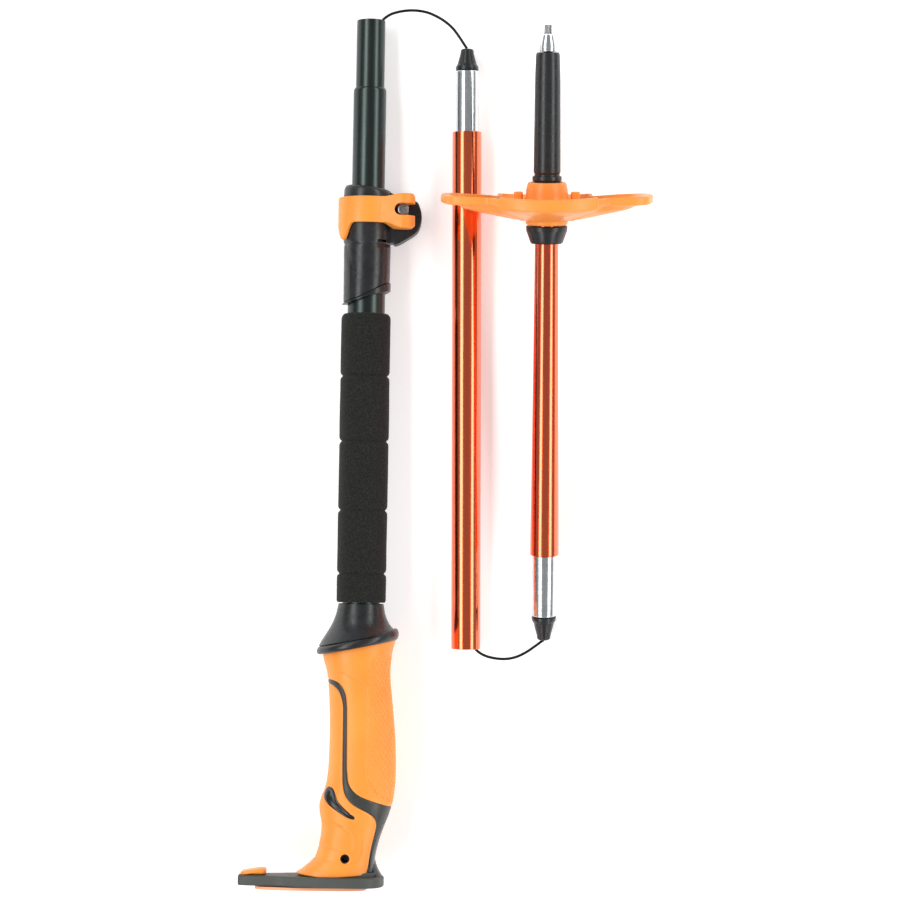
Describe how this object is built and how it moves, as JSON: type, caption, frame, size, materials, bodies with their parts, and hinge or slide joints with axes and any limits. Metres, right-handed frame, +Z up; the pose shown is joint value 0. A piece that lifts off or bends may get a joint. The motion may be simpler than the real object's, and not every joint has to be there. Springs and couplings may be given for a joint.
{
  "type": "folding ski pole",
  "caption": "Folding telescoping ski touring pole with a scraper grip, lever lock, tethered plug-in sections, snow basket and ferruled tip.",
  "frame": {"origin": "middle of the folded pole's footprint, on the surface it lies on", "axes": "+Y along the folded pole towards the tip, +Z up from the surface"},
  "size_m": [0.2002, 0.4303, 0.0766],
  "materials": {
    "orange_plastic": "fine satin moulding",
    "black_plastic": "satin moulding",
    "grey_plate": "matte filled nylon",
    "salmon_pad": "soft matte",
    "foam": "closed cell foam, matte",
    "dark_tube": "dark green anodised",
    "orange_tube": "orange anodised, glossy",
    "bright_aluminium": "turned",
    "steel": "plain",
    "cable": "coated cable"
  },
  "bodies": {
    "upper": {"grip_body": "orange_plastic", "grip_inlay": "black_plastic", "finger_insert_front": "black_plastic", "finger_insert_back": "black_plastic", "grip_collar": "black_plastic", "head_plate": "grey_plate", "palm_pad": "salmon_pad", "arm_pad": "orange_plastic", "foam_grip": "foam", "outer_tube": "dark_tube", "clamp_housing": "black_plastic", "barrel_pin": "steel", "clamp_screw": "steel", "clamp_nut": "steel"},
    "lever": {"lock_lever": "orange_plastic"},
    "inner": {"inner_tube": "dark_tube", "joint_tube": "dark_tube", "guide_bush": "black_plastic"},
    "upper_tether": {"upper_tether_stop": "steel", "upper_tether_run": "cable", "upper_tether_loop": "cable"},
    "middle": {"middle_cone": "black_plastic", "middle_ferrule": "bright_aluminium", "middle_tube": "orange_tube", "middle_tether_run": "cable"},
    "lower_tether": {"lower_tether_loop": "cable"},
    "lower": {"lower_tether_stop": "steel", "lower_tether_run": "cable", "lower_cone": "black_plastic", "lower_ferrule": "bright_aluminium", "lower_tube": "orange_tube", "basket_collar": "black_plastic", "tip_sleeve": "black_plastic", "tip_ring": "black_plastic", "tip_cone": "bright_aluminium", "tip_point": "steel"},
    "basket": {"basket": "orange_plastic"}
  },
  "joints": [
    {"name": "lever_open", "type": "hinge", "parent": "upper", "child": "lever", "pos_m": [-0.02004, 0.11746, 0.0229], "axis": [0.0165, 0.9991, -0.0388], "range_deg": [0, 120]},
    {"name": "length_adjust", "type": "slide", "parent": "upper", "child": "inner", "axis": [0.0165, 0.9991, -0.0388], "range_m": [-0.045, 0.13]},
    {"name": "plug_upper", "type": "slide", "parent": "inner", "child": "upper_tether", "axis": [-0.0165, -0.9991, 0.0388], "range_m": [0, 0.0409]},
    {"name": "fold_upper", "type": "hinge", "parent": "upper_tether", "child": "middle", "pos_m": [-0.01246, 0.20509, 0.00792], "axis": [0.0354, 0.019, 0.9992], "range_deg": [0, 179.12], "deforming": ["upper_tether_loop"]},
    {"name": "plug_lower", "type": "slide", "parent": "middle", "child": "lower_tether", "axis": [0.0025, 1, 0], "range_m": [0, 0.0427]},
    {"name": "fold_lower", "type": "hinge", "parent": "lower_tether", "child": "lower", "pos_m": [0.02947, -0.09376, 0.00598], "axis": [-0.0738, 0.0789, -0.9942], "range_deg": [0, 180.67], "deforming": ["lower_tether_loop"]},
    {"name": "basket_release", "type": "slide", "parent": "lower", "child": "basket", "axis": [0.0024, 0.9875, 0.1573], "range_m": [0, 0.09]}
  ]
}
